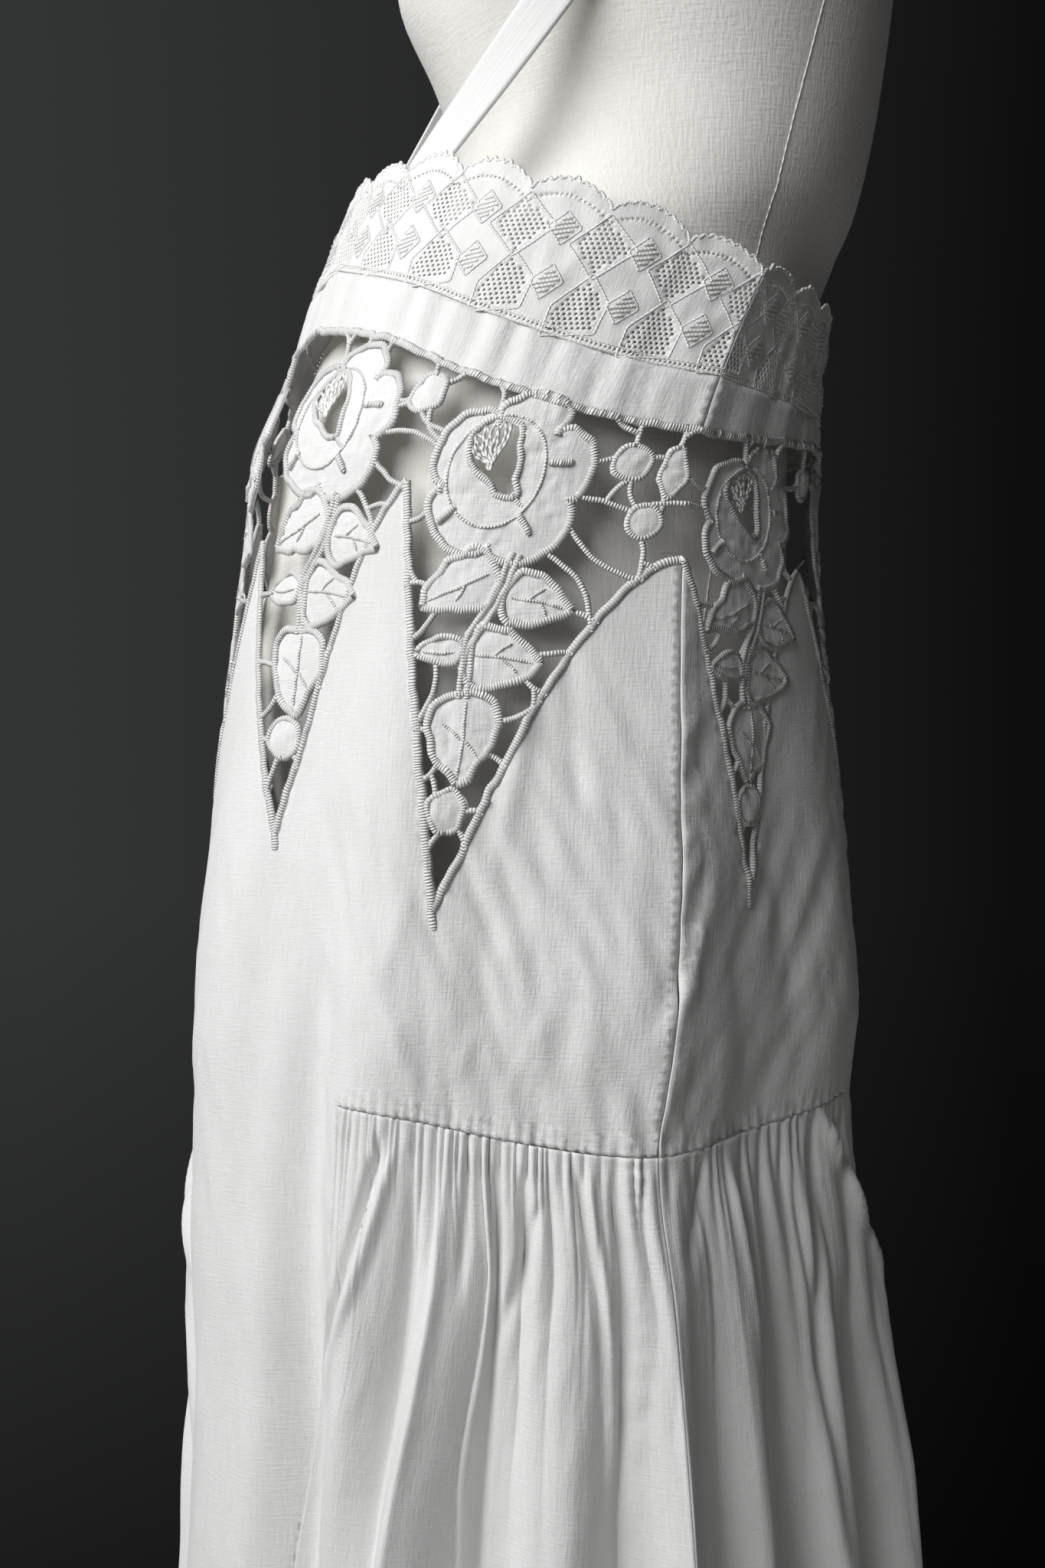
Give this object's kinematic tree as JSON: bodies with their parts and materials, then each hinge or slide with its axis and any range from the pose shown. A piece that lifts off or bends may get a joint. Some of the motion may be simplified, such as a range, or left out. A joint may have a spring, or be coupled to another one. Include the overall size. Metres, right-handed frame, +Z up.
{
  "type": "summer dress on dress form",
  "caption": "White cotton summer dress with a scalloped lace band, cutwork roses and gathered ruffles, hung by its straps on a limbless dress form.",
  "frame": {"origin": "middle of the stand base's flat underside, on the floor", "axes": "+Z up, the dress's front faces -Y, and +X is the wearer's left"},
  "size_m": [0.4224, 0.3984, 1.5123],
  "materials": {
    "cotton": "matte white woven cotton",
    "linen_cover": "matte off-white linen cover",
    "iron": "satin black paint"
  },
  "bodies": {
    "root": {"front_panel": "cotton", "back_panel": "cotton", "lace_band_front": "cotton", "lace_band_back": "cotton", "ruffle_left": "cotton", "ruffle_right": "cotton", "ruffle_back": "cotton", "strap_left": "cotton", "strap_right": "cotton", "form_torso": "linen_cover", "neck_cap": "linen_cover", "pole_collar": "iron", "stand_pole": "iron", "stand_base": "iron"}
  },
  "joints": []
}
